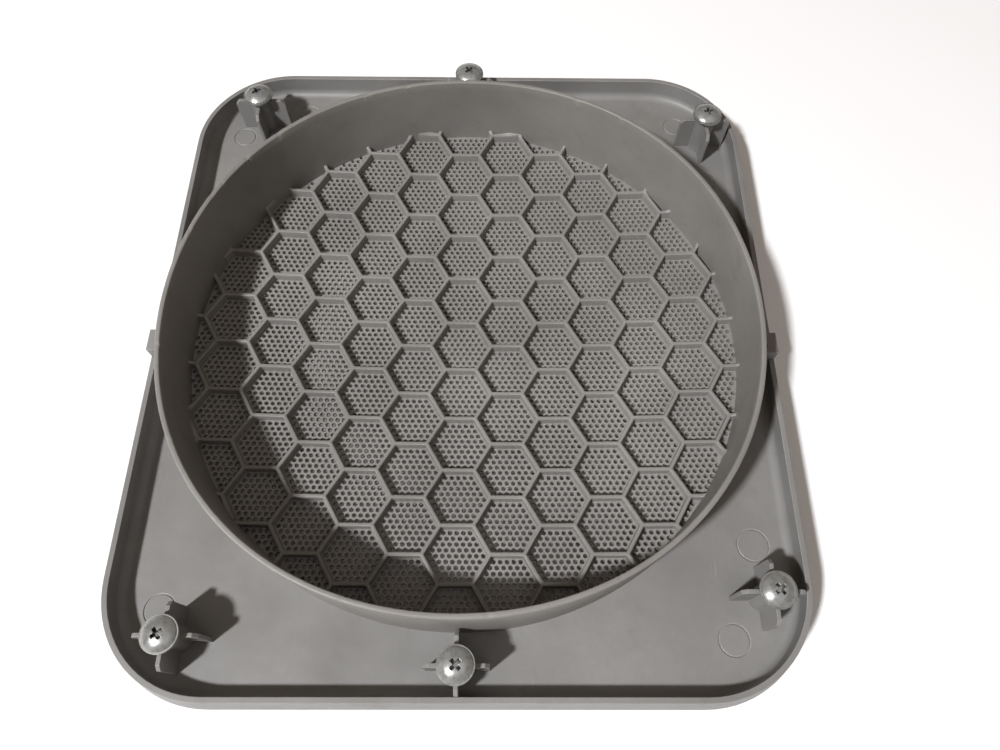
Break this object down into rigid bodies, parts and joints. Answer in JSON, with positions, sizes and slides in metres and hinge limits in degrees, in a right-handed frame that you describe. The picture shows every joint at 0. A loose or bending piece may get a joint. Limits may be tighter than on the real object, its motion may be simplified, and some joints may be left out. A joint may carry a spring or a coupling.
{
  "type": "ceiling air diffuser",
  "caption": "Rectangular plastic ceiling diffuser: domed perforated screen with a honeycomb grid inside a round duct collar, finned screw posts around it.",
  "frame": {"origin": "under the centre of the plate, at the lowest point of the domed screen", "axes": "+Z along the duct collar, away from the room; +Y along the plate's long side; +X across it"},
  "size_m": [0.1972, 0.22, 0.0331],
  "materials": {
    "plate_plastic": "warm grey moulded ABS, satin",
    "screen_plastic": "warm grey moulded ABS, satin, fine round holes",
    "grid_plastic": "warm grey moulded ABS, satin",
    "collar_plastic": "warm grey moulded ABS, rougher cream-grey cut edge",
    "post_plastic": "warm grey moulded ABS, satin",
    "washer_steel": "zinc-plated steel, slightly dulled",
    "screw_steel": "zinc-plated steel, smooth crown"
  },
  "bodies": {
    "root": {"face_plate": "plate_plastic", "perforated_screen": "screen_plastic", "honeycomb_grid": "grid_plastic", "duct_collar": "collar_plastic", "post_top_left": "post_plastic", "washer_top_left": "washer_steel", "screw_top_left": "screw_steel", "post_top_right": "post_plastic", "washer_top_right": "washer_steel", "screw_top_right": "screw_steel", "post_top_middle": "post_plastic", "washer_top_middle": "washer_steel", "screw_top_middle": "screw_steel", "post_bottom_left": "post_plastic", "washer_bottom_left": "washer_steel", "screw_bottom_left": "screw_steel", "post_bottom_middle": "post_plastic", "washer_bottom_middle": "washer_steel", "screw_bottom_middle": "screw_steel", "post_bottom_right": "post_plastic", "washer_bottom_right": "washer_steel", "screw_bottom_right": "screw_steel", "lug_left": "post_plastic", "lug_right": "post_plastic"}
  },
  "joints": []
}
